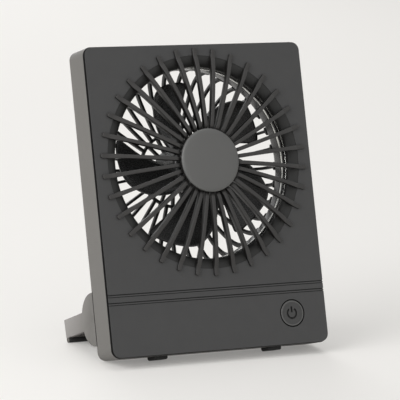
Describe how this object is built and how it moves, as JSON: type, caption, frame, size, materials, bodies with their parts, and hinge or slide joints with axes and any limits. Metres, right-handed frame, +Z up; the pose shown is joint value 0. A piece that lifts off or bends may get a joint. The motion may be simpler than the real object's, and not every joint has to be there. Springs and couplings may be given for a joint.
{
  "type": "portable camping fan",
  "caption": "Slim portable tabletop fan with a domed radial-fin grille, caged back, flush power button and a fold-out rear stand",
  "frame": {"origin": "bottom centre of the fan's bounding box as it stands open on a table", "axes": "+X to the right seen from the front, +Y to the rear, +Z up; the grille faces -Y and leans back"},
  "size_m": [0.14, 0.0874, 0.1738],
  "materials": {
    "cover_plastic": "fine matte moulded grain, dark grey",
    "shell_plastic": "fine matte moulded grain, grey",
    "duct_plastic": "matte near-black",
    "grille_plastic": "satin dark grey",
    "cap_plastic": "satin dark grey",
    "impeller_plastic": "soft gloss near-black",
    "inner_plastic": "plain moulded",
    "screw_steel": "dark zinc",
    "motor_steel": "drawn steel",
    "pin_steel": "blackened",
    "magnet_iron": "sintered",
    "bush_brass": "sintered bronze and copper wire",
    "cell_foil": "foil pouch",
    "pad_foam": "foam tape",
    "lead_plastic": "insulated wire",
    "board_plastic": "solder mask",
    "washer_plastic": "acetal",
    "foot_rubber": "matte black"
  },
  "bodies": {
    "root": {"front_cover": "cover_plastic", "rear_shell": "shell_plastic", "duct_ring": "duct_plastic", "front_grille": "grille_plastic", "grille_cap": "cap_plastic", "rear_grille": "duct_plastic", "grille_screws": "screw_steel", "case_screws": "screw_steel", "foot_left": "foot_rubber", "foot_right": "foot_rubber", "motor_can": "motor_steel", "motor_end_cap": "inner_plastic", "motor_magnets": "magnet_iron", "motor_bushes": "bush_brass", "motor_screws": "screw_steel", "battery_front": "cell_foil", "battery_rear": "cell_foil", "battery_pads": "pad_foam", "battery_leads": "lead_plastic", "circuit_board": "board_plastic", "board_screws": "screw_steel", "switch_body": "inner_plastic", "usb_shell": "motor_steel", "usb_tongue": "inner_plastic", "hinge_pin_left": "pin_steel", "hinge_pin_right": "pin_steel", "hinge_washers": "washer_plastic"},
    "rotor": {"impeller": "impeller_plastic", "motor_shaft": "motor_steel", "motor_armature": "bush_brass"},
    "button": {"power_button": "cap_plastic", "switch_plunger": "inner_plastic"},
    "stand": {"stand": "shell_plastic", "stand_pad_left": "foot_rubber", "stand_pad_right": "foot_rubber"}
  },
  "joints": [
    {"name": "fan_spin", "type": "hinge", "parent": "root", "child": "rotor", "pos_m": [0, 0.00562, 0.1046], "axis": [0, 0.9459, -0.3244], "continuous": true},
    {"name": "button_press", "type": "slide", "parent": "root", "child": "button", "axis": [0, 0.9459, -0.3244], "range_m": [0, 0.0008], "stiffness_N_per_m": 1500, "springref_m": -0.0004},
    {"name": "stand_fold", "type": "hinge", "parent": "root", "child": "stand", "pos_m": [0, -0.01325, 0.02184], "axis": [1, 0, 0], "range_deg": [0, 80]}
  ]
}
